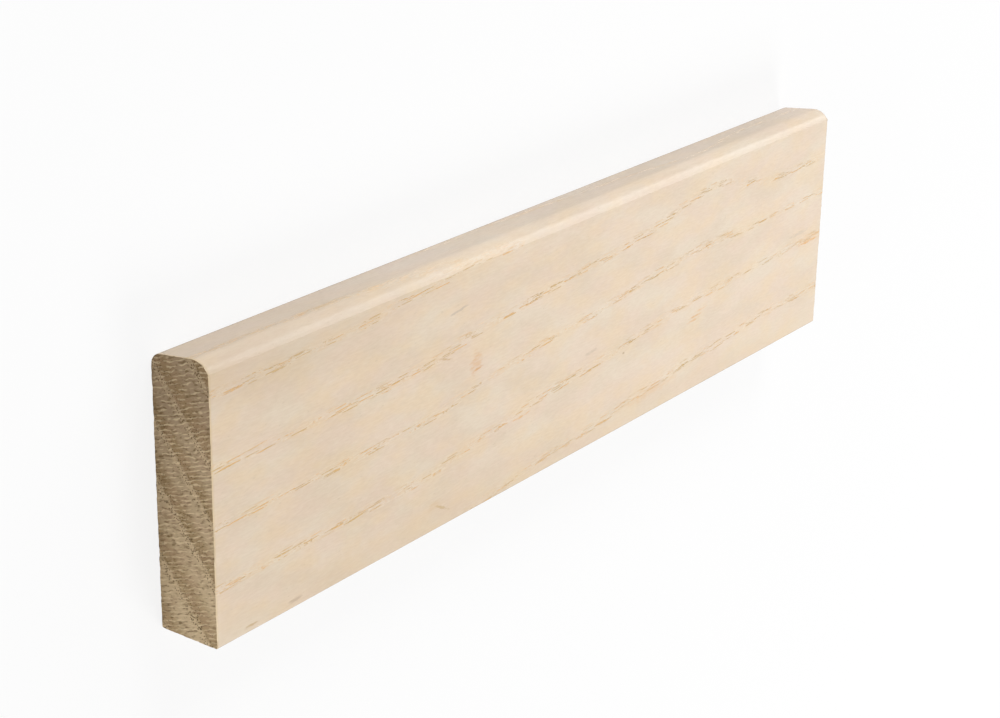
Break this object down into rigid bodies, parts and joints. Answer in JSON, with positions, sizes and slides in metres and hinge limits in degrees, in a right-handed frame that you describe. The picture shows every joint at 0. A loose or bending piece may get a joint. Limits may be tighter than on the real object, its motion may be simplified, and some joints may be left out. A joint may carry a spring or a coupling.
{
  "type": "skirting board length",
  "caption": "Short length of solid white-lacquered ash skirting board, flat on its back, with a rounded top edge and square raw sawn ends.",
  "frame": {"origin": "centre of the flat back face, which lies on the floor", "axes": "+X along the length, +Y from the floor edge to the rounded top edge, +Z out of the show face"},
  "size_m": [0.24, 0.06, 0.015],
  "materials": {
    "lacquered_ash": "satin white-tinted lacquer on the planed faces, bare wood on the sawn ends"
  },
  "bodies": {
    "root": {"skirting_board": "lacquered_ash"}
  },
  "joints": []
}
